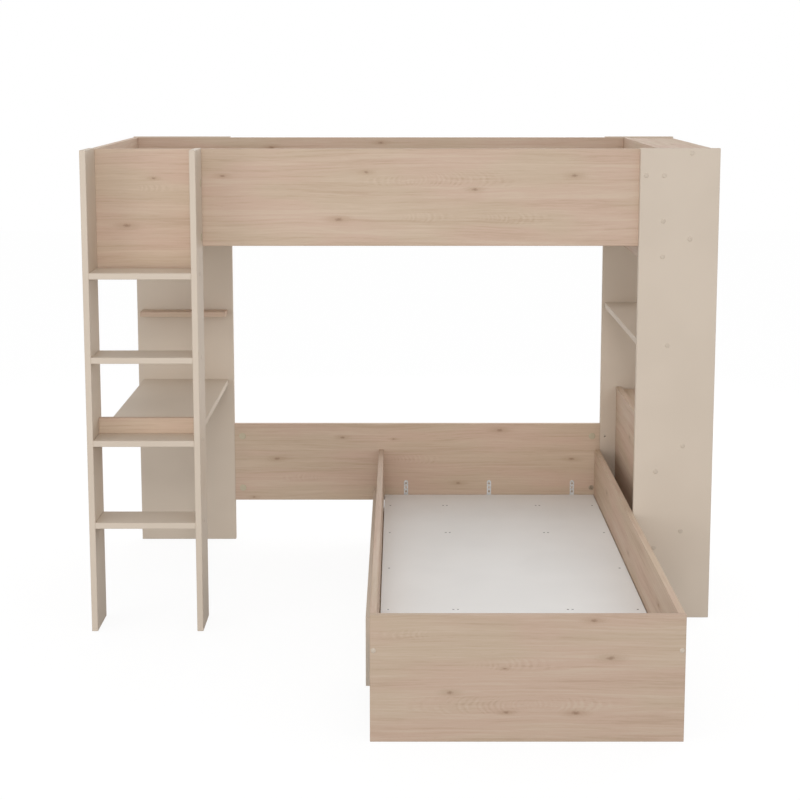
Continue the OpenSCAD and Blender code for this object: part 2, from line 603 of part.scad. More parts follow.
// A board with every hole that its fittings need
module board(box) difference() {
    bevelled(box);
    set_each(near(box, panel_screw_list, 0, panel_screw_l)) long_hole(panel_screw_l);
    set_each(near(box, short_screw_list, 0, short_screw_l)) long_hole(short_screw_l);
    set_each(near(box, base_screw_list, 0, base_screw_l)) small_hole(base_screw_l);
    set_each(near(box, ledger_screw_list, 0, ledger_screw_l)) small_hole(ledger_screw_l);
    set_each(near(box, concat(bracket_screw_list, seam_screw_list), 0, plate_screw_l)) pan_hole(plate_screw_l);
    set_each(near_cams(box)) cam_hole();
    set_each(near(box, dowel_list, dowel_face, dowel_edge)) dowel_hole();
    set_each(near(box, bolt_list, 0, bolt_l)) bolt_hole();
}
module plain(box) color("#c9bba9") board(box);
module oak(box) color("#c4a98e") board(box);
module white(box) color("#e9e5e0") board(box);
module raw(box) color("#d8bd92") board(box);

module back_left_panel() plain(back_left_box);
// The inner edge has one spare fixing hole above the low bed
module back_right_panel() difference() {
    plain(back_right_box);
    translate([x_bay_r + rail_screw, y_panel - eps, low_cam_z[1]]) rotate([-90, 0, 0]) cylinder(r = 4, h = 12);
}
module front_right_panel() plain(front_right_box);
module ladder_left_rail() plain(ladder_rail_at(x_left));
module ladder_right_rail() plain(ladder_rail_at(x_step_r));
module ladder_step_1() plain(step_at(step_tops[0]));
module ladder_step_3() plain(step_at(step_tops[2]));
module ladder_step_4() plain(step_at(step_tops[3]));
// The desk's front end is the ladder's second step
module desk_top() plain(desk_box);
module desk_stop_strip() oak(strip_box);
module wall_shelf() oak(wall_shelf_box);
module ladder_guard_panel() oak(guard_box);
module upper_front_rail() oak(front_rail_box);
module upper_back_rail() oak(back_rail_box);
module upper_left_end_board() oak(left_end_box);
module upper_right_end_board() oak(right_end_box);
module cabinet_top_shelf() oak(shelf_at(upper_shelf_x, upper_shelf_w, top_shelf_top));
module niche_shelf() oak(shelf_at(upper_shelf_x, upper_shelf_w, niche_shelf_top));
module bedside_shelf() plain(shelf_at(x_bay_r + bedside_inset, bedside_shelf_d, bedside_shelf_top));
module cabinet_back_board() oak(cabinet_board_box);
module low_cabinet_top() oak(shelf_at(cabinet_x, cabinet_w, low_top));
module low_cabinet_shelf() oak(shelf_at(cabinet_x, cabinet_w, inner_shelf_top));
module low_back_rail() oak(low_back_box);
module footboard() oak(foot_box);
module low_left_rail() oak(side_rail_at(x_low_l - board_t));
module low_right_rail() oak(side_rail_at(x_low_r));
module low_plinth() plain(plinth_box);
module upper_base_board() white(base_box(high_bed));
module low_base_board() white(base_box(low_bed));
module upper_front_ledger() raw(ledger_box(high_bed, false));
module upper_back_ledger() raw(ledger_box(high_bed, true));
module low_left_ledger() raw(ledger_box(low_bed, false));
module low_right_ledger() raw(ledger_box(low_bed, true));
module batten(bed, i) raw(batten_box(bed, i));

module upper_batten_1() batten(high_bed, 0);
module upper_batten_2() batten(high_bed, 1);
module upper_batten_3() batten(high_bed, 2);
module upper_batten_4() batten(high_bed, 3);
module low_batten_1() batten(low_bed, 0);
module low_batten_2() batten(low_bed, 1);
module low_batten_3() batten(low_bed, 2);
module low_batten_4() batten(low_bed, 3);

// Angle bracket with slots for its screws: +X across, +Y up the end board, +Z away from it
slot_r = small_r + 0.7;
module slot(at) {
    for (end = [-slot_l/2, slot_l/2]) translate([0, at + end]) circle(r = slot_r);
    translate([-slot_r, at - slot_l/2]) square([2*slot_r, slot_l]);
}
module leg(l, slots) linear_extrude(plate_t) difference() {
    union() {
        translate([-bracket_w/2, -plate_t]) square([bracket_w, l + plate_t - bracket_w/2]);
        translate([0, l - bracket_w/2]) circle(d = bracket_w);
    }
    for (at = slots) slot(at);
}
module bracket() {
    leg(bracket_h, [bracket_screw, bracket_screw + bracket_rise/2, bracket_screw + bracket_rise]);
    difference() {
        rotate([90, 0, 0]) leg(bracket_l, [level_screw]);
        translate([-bracket_w, -2*plate_t, -2*plate_t]) cube([2*bracket_w, 3*plate_t, 2*plate_t]);
    }
}
module base_brackets() color("silver")
    for (b = bracket_list) set_on(b[0], b[1], cross(Z, b[1])) bracket();
module bracket_screws() color("silver") set_each(bracket_screw_list) pan_screw(plate_screw_l);
module base_screws() color("silver") set_each(base_screw_list) small_screw(base_screw_l);
module ledger_screws() color("silver") set_each(ledger_screw_list) small_screw(ledger_screw_l);
module seam_plates() color("silver") difference() {
    for (p = seam_plate_list) translate(p - [seam_plate.x/2, 0, seam_plate.z/2]) cube(seam_plate);
    set_each(seam_screw_list) pan_hole(plate_screw_l);
}
module seam_screws() color("silver") set_each(seam_screw_list) pan_screw(plate_screw_l);
module panel_screws() color("silver") set_each(panel_screw_list) long_screw(panel_screw_l);
module short_screws() color("silver") set_each(short_screw_list) long_screw(short_screw_l);
module screw_caps() color("#c2b4a2")
    set_each(concat(front_screws, short_front, step_screws)) cover_cap(cap_d/2, key_r - 0.6, head_sink + 1.7);
module cam_housings() color("silver") set_each(cam_list) cam_housing();
module cam_bolts() color("silver") set_each(cam_list) cam_bolt();
module cam_covers() color("#b5ab98") set_each(cover_list) cover_cap(cover_d/2, cam_recess_d/2 - 0.3, 1);
module dowels() color("#d8bd92") set_each(dowel_list) dowel();
module bed_bolts() color("silver") set_each(bolt_list) bed_bolt();
module barrel_nuts() color("silver") set_each(bolt_list) barrel_nut();
module bolt_caps() color("#c2b4a2")
    set_each([for (i = [0, 1]) bolt_list[i]]) cover_cap(bolt_head[0] + 1.5, 2.2, bolt_seat - bolt_head[1] + 2);

back_left_panel();
back_right_panel();
front_right_panel();
ladder_left_rail();
ladder_right_rail();
ladder_step_1();
ladder_step_3();
ladder_step_4();
desk_top();
desk_stop_strip();
wall_shelf();
ladder_guard_panel();
upper_front_rail();
upper_back_rail();
upper_left_end_board();
upper_right_end_board();
cabinet_top_shelf();
niche_shelf();
bedside_shelf();
cabinet_back_board();
low_cabinet_top();
low_cabinet_shelf();
low_back_rail();
footboard();
low_left_rail();
low_right_rail();
low_plinth();
upper_base_board();
low_base_board();
upper_front_ledger();
upper_back_ledger();
low_left_ledger();
low_right_ledger();
upper_batten_1();
upper_batten_2();
upper_batten_3();
upper_batten_4();
low_batten_1();
low_batten_2();
low_batten_3();
low_batten_4();
base_brackets();
bracket_screws();
base_screws();
ledger_screws();
seam_plates();
seam_screws();
panel_screws();
short_screws();
screw_caps();
cam_housings();
cam_bolts();
cam_covers();
dowels();
bed_bolts();
barrel_nuts();
bolt_caps();
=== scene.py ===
# L-shaped bunk bed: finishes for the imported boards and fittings, a studio floor, lamps and a camera.
# Metres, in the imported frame: +X right, +Y to the wall, +Z up. Colours are sRGB, 0 to 255.
import bpy
import numpy as np
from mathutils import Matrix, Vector


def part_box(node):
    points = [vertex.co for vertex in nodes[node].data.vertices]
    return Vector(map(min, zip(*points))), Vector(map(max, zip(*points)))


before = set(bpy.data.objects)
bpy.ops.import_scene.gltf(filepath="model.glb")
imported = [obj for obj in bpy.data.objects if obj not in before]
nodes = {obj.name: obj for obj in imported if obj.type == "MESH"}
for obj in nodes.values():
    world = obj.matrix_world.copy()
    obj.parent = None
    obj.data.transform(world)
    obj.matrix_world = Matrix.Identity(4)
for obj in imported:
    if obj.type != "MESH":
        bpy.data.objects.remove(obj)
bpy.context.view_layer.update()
print("frame loaded:", len(nodes), "nodes")


camera = {
    "place": (-0.0133, -5.5093, 2.0314),
    "tilt": 82.37,          # degrees from straight down
    "lens": 69.48,          # mm, on a sensor this wide
    "sensor": 36,
    "shiftY": -0.155,
    "clipEnd": 60,
}


def makeCamera():
    data = bpy.data.cameras.new("camera")
    data.lens = camera["lens"]
    data.sensor_width = camera["sensor"]
    data.shift_y = camera["shiftY"]
    data.clip_end = camera["clipEnd"]
    obj = bpy.data.objects.new("camera", data)
    obj.location = camera["place"]
    obj.rotation_euler = (np.radians(camera["tilt"]), 0, 0)
    bpy.context.scene.collection.objects.link(obj)
    bpy.context.scene.camera = obj


makeCamera()
print("camera made")


def linear(rgb):
    # sRGB to the linear colour that a socket takes
    c = np.array(rgb, float) / 255
    c = np.where(c <= 0.04045, c / 12.92, ((c + 0.055) / 1.055) ** 2.4)
    return (*c.tolist(), 1.0)


class Tree:
    # Short names for adding nodes to one node tree. A value may be a number, a tuple or a socket.

    def __init__(self, tree):
        self.tree = tree

    def put(self, kind, values=(), **settings):
        node = self.tree.nodes.new(kind)
        for key, value in settings.items():
            setattr(node, key, value)
        for key, value in dict(values).items():
            self.feed(node.inputs[key], value)
        return node

    def feed(self, socket, value):
        if isinstance(value, bpy.types.NodeSocket):
            self.tree.links.new(value, socket)
        else:
            socket.default_value = value

    def math(self, op, a, b=0.0, c=0.0):
        return self.put("ShaderNodeMath", {0: a, 1: b, 2: c}, operation=op).outputs[0]

    def vector(self, op, a, b):
        return self.put("ShaderNodeVectorMath", {0: a, 1: b}, operation=op).outputs[0]

    def split(self, v):
        return self.put("ShaderNodeSeparateXYZ", {0: v}).outputs

    def join(self, x, y, z):
        return self.put("ShaderNodeCombineXYZ", {0: x, 1: y, 2: z}).outputs[0]

    def noise(self, v, scale, detail, rough=0.5):
        values = {"Vector": v, "Scale": scale, "Detail": detail, "Roughness": rough}
        return self.put("ShaderNodeTexNoise", values).outputs["Fac"]

    def ramp(self, value, low, high, toLow=0.0, toHigh=1.0):
        # low to high becomes toLow to toHigh, eased at both ends
        values = {0: value, 1: low, 2: high, 3: toLow, 4: toHigh}
        return self.put("ShaderNodeMapRange", values, interpolation_type="SMOOTHSTEP").outputs[0]

    def mix(self, factor, a, b):
        values = {0: factor, 6: a, 7: b}
        return self.put("ShaderNodeMix", values, data_type="RGBA").outputs[2]

    def objectCoords(self):
        return self.put("ShaderNodeTexCoord").outputs["Object"]


def makeGroup(name, inputs, outputs, build):
    # A shader node group. inputs and outputs give each socket's name and kind; build returns what goes out.
    tree = bpy.data.node_groups.new(name, "ShaderNodeTree")
    for direction, sockets in (("INPUT", inputs), ("OUTPUT", outputs)):
        for socketName, kind in sockets.items():
            tree.interface.new_socket(socketName, in_out=direction, socket_type="NodeSocket" + kind)
    t = Tree(tree)
    entry = t.put("NodeGroupInput")
    made = build(t, {socketName: entry.outputs[socketName] for socketName in inputs})
    t.put("NodeGroupOutput", made)
    return tree


def useGroup(t, group, values):
    return t.put("ShaderNodeGroup", values, node_tree=group).outputs


# Knot, in knot sizes: u along the board and v across it. A mask fades between the two radii of its pair.
knotShape = {
    "bendAlong": 0.03, "bendAcross": 0.3, "bend": 0.8,      # the grain's way round it
    "uneven": (150.0, 3.0), "wobble": 0.9,                  # noise scale and detail, and its share
    "coreAlong": 0.22, "coreAcross": 1.0, "core": (0.1, 0.95),
    "haloAlong": 0.05, "haloAcross": 0.55, "halo": (0.1, 1.9),
    "tailAlong": 0.035, "tailAcross": 9.0,                  # thin dark line that runs out both ways
}


def buildKnot(t, g):
    # e = exp(-(0.03 u^2 + 0.3 v^2)), and the grain is pushed off by -0.8 e tanh(v). The core is where
    # sqrt(0.22 u^2 + v^2) is small, the halo where sqrt(0.05 u^2 + 0.55 v^2) is.
    x, y, _ = t.split(t.vector("SUBTRACT", g["Place"], g["Centre"]))
    u = t.math("DIVIDE", x, g["Size"])
    v = t.math("DIVIDE", y, g["Size"])
    uu = t.math("MULTIPLY", u, u)
    vv = t.math("MULTIPLY", v, v)
    uneven = t.math("SUBTRACT", t.noise(g["Place"], *knotShape["uneven"]), 0.5)
    wobble = t.math("MULTIPLY", uneven, knotShape["wobble"])

    def fade(along, across):
        return t.math("EXPONENT", t.math("MULTIPLY_ADD", uu, -along, t.math("MULTIPLY", vv, -across)))

    def radius(along, across):
        oval = t.math("SQRT", t.math("MULTIPLY_ADD", uu, along, t.math("MULTIPLY", vv, across)))
        return t.math("ADD", oval, wobble)

    reach = t.math("MULTIPLY", fade(knotShape["bendAlong"], knotShape["bendAcross"]), g["Size"])
    bend = t.math("MULTIPLY", reach, t.math("MULTIPLY", t.math("TANH", v), -knotShape["bend"]))
    core = t.ramp(radius(knotShape["coreAlong"], knotShape["coreAcross"]), *knotShape["core"], 1.0, 0.0)
    halo = t.ramp(radius(knotShape["haloAlong"], knotShape["haloAcross"]), *knotShape["halo"], 1.0, 0.0)
    tail = t.math("MULTIPLY", fade(knotShape["tailAlong"], knotShape["tailAcross"]), g["Tail"])
    return {"Bend": bend, "Core": core, "Halo": t.math("MAXIMUM", halo, tail)}


knotGroup = makeGroup("knot", {"Place": "Vector", "Centre": "Vector", "Size": "Float", "Tail": "Float"},
                      {"Bend": "Float", "Core": "Float", "Halo": "Float"}, buildKnot)


# Flat-sawn crown inside a spindle along the board. Each noise has its scale and detail.
crownShape = {
    "arch": 34.0,                               # how fast an arch closes
    "lines": 305.0, "widening": 90.0,           # lines from 13 mm apart at one end to 50 mm at the other
    "slim": 0.17, "edge": (0.1, 1.0),           # half width as a share of its length, fade to its rim
    "uneven": (45.0, 3.0), "shake": 0.02, "shakeAcross": 0.35,
    "patches": (30.0, 2.0), "patch": (0.35, 0.6),
    "bend": 0.07, "bendFade": 0.8,              # the grain's way round it
}


def buildCrown(t, g):
    # Arches of equal q = x + 34 y^2, drawn as the sine of 305 q - 90 q^2 / size and shaken by a little noise
    x, y, _ = t.split(t.vector("SUBTRACT", g["Place"], g["Centre"]))
    uneven = t.math("SUBTRACT", t.noise(g["Place"], *crownShape["uneven"]), 0.5)
    shake = t.math("MULTIPLY", uneven, crownShape["shake"])
    y = t.math("ADD", y, t.math("MULTIPLY", shake, crownShape["shakeAcross"]))
    x = t.math("MULTIPLY", x, g["Way"])
    q = t.math("ADD", t.math("MULTIPLY_ADD", t.math("MULTIPLY", y, y), crownShape["arch"], x), shake)
    widening = t.math("MULTIPLY", t.math("MULTIPLY", q, q), -crownShape["widening"])
    phase = t.math("MULTIPLY_ADD", q, crownShape["lines"], t.math("DIVIDE", widening, g["Size"]))
    u = t.math("DIVIDE", x, g["Size"])
    v = t.math("DIVIDE", y, t.math("MULTIPLY", g["Size"], crownShape["slim"]))
    far = t.math("MULTIPLY_ADD", u, u, t.math("MULTIPLY", v, v))
    inside = t.ramp(far, *crownShape["edge"], 1.0, 0.0)
    patch = t.ramp(t.noise(g["Place"], *crownShape["patches"]), *crownShape["patch"])
    fade = t.math("EXPONENT", t.math("MULTIPLY", far, -crownShape["bendFade"]))
    bend = t.math("MULTIPLY", t.math("MULTIPLY", t.math("TANH", v), g["Size"]),
                  t.math("MULTIPLY", fade, -crownShape["bend"]))
    line = t.math("MULTIPLY", t.math("MULTIPLY", t.math("SINE", phase), inside), patch)
    return {"Bend": bend, "Line": line}


crownGroup = makeGroup("crown", {"Place": "Vector", "Centre": "Vector", "Size": "Float", "Way": "Float"},
                       {"Bend": "Float", "Line": "Float"}, buildCrown)


# Streaks per metre along the board and across it, then the noise's detail and roughness
grainShape = {
    "wide": (1.7, 34.0, 2.0, 0.5), "mid": (3.2, 150.0, 3.0, 0.6), "fine": (18.0, 620.0, 2.0, 0.6),
    "share": (0.36, 0.38, 0.26),                                # of wide, mid and fine in the tone
    "pores": (40.0, 900.0, 1.0, 0.5), "pore": (0.68, 0.8),
    "drift": (2.4, 11.0, 2.0, 0.5),
    "slow": (1.1, 4.0, 2.0), "slowSway": 0.05,                  # the grain's wander across the board
    "quick": (5.0, 14.0, 2.0), "quickSway": 0.005,
}


def buildGrain(t, g):
    # Grain along x: streaks of three widths in Tone, short pores, and slow drifts of colour
    x, y, z = t.split(g["Place"])

    def sway(along, across, detail):
        wave = t.noise(t.join(t.math("MULTIPLY", x, along), t.math("MULTIPLY", y, across), z), 1.0, detail)
        return t.math("SUBTRACT", wave, 0.5)

    slow = t.math("MULTIPLY_ADD", sway(*grainShape["slow"]), grainShape["slowSway"], y)
    quick = t.math("MULTIPLY_ADD", sway(*grainShape["quick"]), grainShape["quickSway"], g["Bend"])
    bentY = t.math("ADD", slow, quick)

    def streaks(along, across, detail, rough):
        place = t.join(t.math("MULTIPLY", x, along), t.math("MULTIPLY", bentY, across),
                       t.math("MULTIPLY", z, across))
        return t.noise(place, 1.0, detail, rough)

    wideShare, midShare, fineShare = grainShape["share"]
    tone = t.math("MULTIPLY_ADD", streaks(*grainShape["wide"]), wideShare,
                  t.math("MULTIPLY", streaks(*grainShape["mid"]), midShare))
    tone = t.math("ADD", tone, t.math("MULTIPLY", streaks(*grainShape["fine"]), fineShare))
    pores = t.ramp(streaks(*grainShape["pores"]), *grainShape["pore"])
    return {"Tone": tone, "Drift": streaks(*grainShape["drift"]), "Pores": pores}


grainGroup = makeGroup("grain", {"Place": "Vector", "Bend": "Float"},
                       {"Tone": "Float", "Drift": "Float", "Pores": "Float"}, buildGrain)


edging = {"strip": 0.0016, "seam": (0.0002, 0.0006)}    # the strip's thickness, and the seam's fade beside it


def buildEdging(t, g):
    # The middle one of the three distances to the board's faces is the distance to its nearest edge
    gap = t.vector("MINIMUM", t.vector("SUBTRACT", g["Place"], g["Low"]),
                   t.vector("SUBTRACT", g["High"], g["Place"]))
    x, y, z = t.split(gap)
    middle = t.math("MAXIMUM", t.math("MINIMUM", x, y), t.math("MINIMUM", t.math("MAXIMUM", x, y), z))
    off = t.math("ABSOLUTE", t.math("SUBTRACT", middle, edging["strip"]))
    return {"Seam": t.ramp(off, *edging["seam"], 1.0, 0.0)}


edgingGroup = makeGroup("edging", {"Place": "Vector", "Low": "Vector", "High": "Vector"},
                        {"Seam": "Float"}, buildEdging)


# Scale, detail and roughness of each noise
foilShape = {
    "emboss": (1400.0, 2.0, 0.6), "cloud": (3.5, 2.0, 0.5), "speck": (420.0, 1.0, 0.5),
    "cloudRange": (0.35, 0.65), "speckRange": (0.3, 0.7), "relief": 0.0003,
}


def buildFoil(t, g):
    # Pressed melamine foil: a very fine emboss, a slow cloud of tone and a speckled gloss
    emboss = t.noise(g["Place"], *foilShape["emboss"])
    cloud = t.ramp(t.noise(g["Place"], *foilShape["cloud"]), *foilShape["cloudRange"])
    speck = t.ramp(t.noise(g["Place"], *foilShape["speck"]), *foilShape["speckRange"])
    return {"Emboss": emboss, "Cloud": cloud, "Speck": speck}


foilGroup = makeGroup("foil", {"Place": "Vector"},
                      {"Emboss": "Float", "Cloud": "Float", "Speck": "Float"}, buildFoil)
print("shared effects made")


def newMaterial(name):
    material = bpy.data.materials.new(name)
    material.use_nodes = True
    tree = material.node_tree
    tree.nodes.clear()
    t = Tree(tree)
    shader = t.put("ShaderNodeBsdfPrincipled")
    t.put("ShaderNodeOutputMaterial", {0: shader.outputs[0]})
    return material, t, shader


def roughen(t, shader, height, strength, distance):
    bump = t.put("ShaderNodeBump", {"Height": height, "Strength": strength, "Distance": distance})
    t.feed(shader.inputs["Normal"], bump.outputs[0])


def between(t, mask, pair):
    # Number from the first value of the pair to the second as the mask goes from 0 to 1
    return t.math("MULTIPLY_ADD", mask, pair[1] - pair[0], pair[0])


def foilSurface(t, shader, finish):
    # Sets a foil's gloss and emboss, and returns its colour
    foil = useGroup(t, foilGroup, {"Place": t.objectCoords()})
    t.feed(shader.inputs["Roughness"], between(t, foil["Speck"], finish["rough"]))
    shader.inputs["Specular IOR Level"].default_value = finish["specular"]
    roughen(t, shader, foil["Emboss"], finish["bump"], foilShape["relief"])
    return t.mix(foil["Cloud"], linear(finish["tone"]), linear(finish["shade"]))


def seamOf(t, node):
    low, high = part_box(node)
    places = {"Place": t.objectCoords(), "Low": tuple(low), "High": tuple(high)}
    return useGroup(t, edgingGroup, places)["Seam"]


def dress(node, material):
    mesh = nodes[node].data
    mesh.materials.clear()
    mesh.materials.append(material)


beigeBoard = {
    "tone": (213, 199, 183), "shade": (210, 196, 180), "seam": (186, 171, 155), "seamShare": 0.5,
    "rough": (0.51, 0.6), "specular": 0.18, "bump": 0.25,
    "nodes": ("back_left_panel", "back_right_panel", "front_right_panel", "ladder_left_rail",
              "ladder_right_rail", "ladder_step_1", "ladder_step_3", "ladder_step_4", "desk_top",
              "bedside_shelf", "low_plinth"),
}


def beigeMaterial(node):
    m, t, shader = newMaterial("beige_" + node)
    colour = foilSurface(t, shader, beigeBoard)
    seam = t.math("MULTIPLY", seamOf(t, node), beigeBoard["seamShare"])
    t.feed(shader.inputs["Base Color"], t.mix(seam, colour, linear(beigeBoard["seam"])))
    return m


for node in beigeBoard["nodes"]:
    dress(node, beigeMaterial(node))
print("beige boards dressed")


oakBoard = {
    "pink": (203, 177, 158), "green": (200, 179, 157), "drift": (0.36, 0.64),
    "light": (208, 188, 168), "lightTone": (0.5, 0.615), "lightShare": 0.78,
    "dark": (181, 154, 132), "darkTone": (0.37, 0.5), "darkShare": 0.52,
    "pore": (165, 139, 117), "poreShare": 0.3, "seamShare": 0.35,
    "halo": (168, 140, 115), "haloShare": 0.4,
    "knot": (131, 102, 79), "knotShare": 0.52,
    "crownLine": 0.055,                 # how far a crown's lines move the tone
    "rough": (0.63, 0.51), "roughTone": (0.35, 0.65), "specular": 0.18,
    "poreDepth": 0.4, "bump": 0.3, "relief": 0.0004,
    "step": 1.7, "stepAcross": 0.37,    # moves the pattern from board to board, and its share across
}

# For each board the axis numbers along and across its grain. Where the board carries them, counted in metres
# from its low corner: knots (along, across, size, tail) and crowns (along, across, length, way).
# A value below 1 under this key darkens the whole board: painted shade for a board that the lamps light too
# brightly.
oakBoards = {
    "upper_front_rail": {
        "grain": (0, 2),
        "knots": [(0.097, 0.254, 0.006, 0.2), (0.516, 0.096, 0.009, 0.2), (0.617, 0.268, 0.006, 0.2),
                  (1.009, 0.205, 0.007, 1.0), (1.369, 0.255, 0.008, 0.5)],
        "crowns": [(0.97, 0.24, 0.26, 1.0), (0.7, 0.235, 0.13, -1.0), (0.84, 0.105, 0.13, 1.0),
                   (1.16, 0.1, 0.16, 1.0)],
    },
    "ladder_guard_panel": {
        "grain": (0, 2),
        "knots": [(0.132, 0.175, 0.009, 0.4), (0.233, 0.347, 0.005, 0.3)],
        "crowns": [(0.24, 0.31, 0.1, 1.0)],
    },
    "upper_back_rail": {
        "grain": (0, 2), "paintedShade": 0.95,
        "knots": [(0.56, 0.31, 0.008, 0.4), (1.02, 0.33, 0.007, 0.3), (1.48, 0.29, 0.009, 0.6)],
        "crowns": [(1.25, 0.2, 0.15, 1.0), (0.4, 0.15, 0.12, -1.0)],
    },
    "upper_left_end_board": {
        "grain": (1, 2),
        "knots": [(0.3, 0.2, 0.008, 0.5), (0.72, 0.33, 0.007, 0.3)],
        "crowns": [(0.5, 0.25, 0.13, 1.0)],
    },
    "upper_right_end_board": {
        "grain": (1, 2),
        "knots": [(0.25, 0.34, 0.008, 0.3), (0.66, 0.16, 0.009, 0.6)],
        "crowns": [(0.45, 0.22, 0.13, -1.0)],
    },
    "low_back_rail": {
        "grain": (0, 2),
        "knots": [(1.146, 0.309, 0.009, 0.4), (1.458, 0.182, 0.008, 0.3), (0.967, 0.075, 0.007, 1.0),
                  (0.687, 0.27, 0.004, 1.0), (0.182, 0.183, 0.008, 0.6), (0.081, 0.012, 0.005, 0.3),
                  (0.467, 0.277, 0.007, 0.6)],
        "crowns": [(0.8, 0.18, 0.15, 1.0), (0.28, 0.1, 0.12, -1.0)],
    },
    "footboard": {
        "grain": (0, 2), "paintedShade": 0.93,
        "knots": [(0.677, 0.384, 0.007, 0.3), (0.73, 0.266, 0.009, 0.5), (0.243, 0.157, 0.007, 1.0),
                  (0.626, 0.092, 0.008, 0.3), (0.414, 0.094, 0.006, 0.3), (0.409, 0.233, 0.004, 0.4)],
        "crowns": [(0.3, 0.115, 0.24, -1.0), (0.62, 0.12, 0.16, 1.0), (0.45, 0.245, 0.17, 1.0),
                   (0.1, 0.34, 0.12, -1.0)],
    },
    "low_left_rail": {
        "grain": (1, 2), "paintedShade": 0.93,
        "knots": [(0.5, 0.12, 0.008, 0.4), (1.2, 0.17, 0.007, 0.6), (1.7, 0.08, 0.007, 0.3)],
        "crowns": [(0.85, 0.1, 0.15, 1.0)],
    },
    "low_right_rail": {
        "grain": (1, 2),
        "knots": [(0.35, 0.14, 0.008, 0.5), (1.02, 0.1, 0.007, 0.3), (1.62, 0.16, 0.008, 0.6)],
        "crowns": [(1.3, 0.12, 0.14, -1.0)],
    },
    "cabinet_back_board": {
        "grain": (1, 2),
        "knots": [(0.2, 0.2, 0.008, 0.4), (0.55, 0.4, 0.008, 0.3), (0.8, 0.12, 0.007, 0.5)],
        "crowns": [(0.45, 0.25, 0.14, 1.0)],
    },
    "cabinet_top_shelf": {"grain": (1, 0), "knots": [(0.4, 0.09, 0.007, 0.4)]},
    "niche_shelf": {"grain": (1, 0), "knots": [(0.6, 0.1, 0.007, 0.4)]},
    "low_cabinet_top": {"grain": (1, 0), "knots": [(0.35, 0.08, 0.007, 0.5)]},
    "low_cabinet_shelf": {"grain": (1, 0), "knots": [(0.7, 0.11, 0.007, 0.4)]},
    "wall_shelf": {"grain": (0, 1)},
    "desk_stop_strip": {"grain": (0, 2)},
}


def oakMarks(t, flat, board):
    # All knots and crowns of a board on its own plane: their push on the grain, and three masks
    bend, core, halo, line = 0.0, 0.0, 0.0, 0.0
    for along, across, size, tail in board.get("knots", ()):
        knot = {"Place": flat, "Centre": (along, across, 0), "Size": size, "Tail": tail}
        one = useGroup(t, knotGroup, knot)
        bend = t.math("ADD", bend, one["Bend"])
        core = t.math("MAXIMUM", core, one["Core"])
        halo = t.math("MAXIMUM", halo, one["Halo"])
    for along, across, size, way in board.get("crowns", ()):
        crown = {"Place": flat, "Centre": (along, across, 0), "Size": size, "Way": way}
        one = useGroup(t, crownGroup, crown)
        bend = t.math("ADD", bend, one["Bend"])
        line = t.math("ADD", line, one["Line"])
    return bend, core, halo, line


def oakMaterial(node, board, shift):
    m, t, shader = newMaterial("oak_" + node)
    along, across = board["grain"]
    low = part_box(node)[0]
    xyz = t.split(t.objectCoords())
    flat = t.join(t.math("SUBTRACT", xyz[along], low[along]),
                  t.math("SUBTRACT", xyz[across], low[across]), 0.0)
    bend, core, halo, line = oakMarks(t, flat, board)
    turned = t.join(t.math("ADD", xyz[along], shift),
                    t.math("ADD", xyz[across], shift * oakBoard["stepAcross"]), xyz[3 - along - across])
    grain = useGroup(t, grainGroup, {"Place": turned, "Bend": bend})
    tone = t.math("MULTIPLY_ADD", line, oakBoard["crownLine"], grain["Tone"])
    drift = t.ramp(grain["Drift"], *oakBoard["drift"])
    colour = t.mix(drift, linear(oakBoard["pink"]), linear(oakBoard["green"]))

    layers = [
        (t.ramp(tone, *oakBoard["lightTone"]), "lightShare", "light"),
        (t.ramp(tone, *oakBoard["darkTone"], 1.0, 0.0), "darkShare", "dark"),
        (grain["Pores"], "poreShare", "pore"), (halo, "haloShare", "halo"), (core, "knotShare", "knot"),
        (seamOf(t, node), "seamShare", "pore"),
    ]
    for mask, share, name in layers:
        colour = t.mix(t.math("MULTIPLY", mask, oakBoard[share]), colour, linear(oakBoard[name]))
    # Painted shade: the board's whole colour is darkened by this factor.
    if "paintedShade" in board:
        colour = t.mix(1 - board["paintedShade"], colour, (0, 0, 0, 1))
    t.feed(shader.inputs["Base Color"], colour)
    t.feed(shader.inputs["Roughness"], t.ramp(tone, *oakBoard["roughTone"], *oakBoard["rough"]))
    shader.inputs["Specular IOR Level"].default_value = oakBoard["specular"]
    relief = t.math("MULTIPLY_ADD", grain["Pores"], -oakBoard["poreDepth"], tone)
    roughen(t, shader, relief, oakBoard["bump"], oakBoard["relief"])
    return m


for number, (node, board) in enumerate(oakBoards.items()):
    dress(node, oakMaterial(node, board, oakBoard["step"] * number))
print("oak boards dressed")


whiteBoard = {
    "tone": (243, 243, 242), "shade": (240, 240, 239), "rough": (0.46, 0.55), "specular": 0.22, "bump": 0.25,
    "nodes": ("upper_base_board", "low_base_board"),
}


def foilMaterial(name, finish):
    m, t, shader = newMaterial(name)
    t.feed(shader.inputs["Base Color"], foilSurface(t, shader, finish))
    return m


white = foilMaterial("white_board", whiteBoard)
for node in whiteBoard["nodes"]:
    dress(node, white)


rawWood = {
    "light": (222, 198, 160), "dark": (196, 166, 124), "tone": (0.38, 0.6),
    "rough": (0.7, 0.56), "roughTone": (0.3, 0.7), "bump": 0.35, "relief": 0.0006,
}


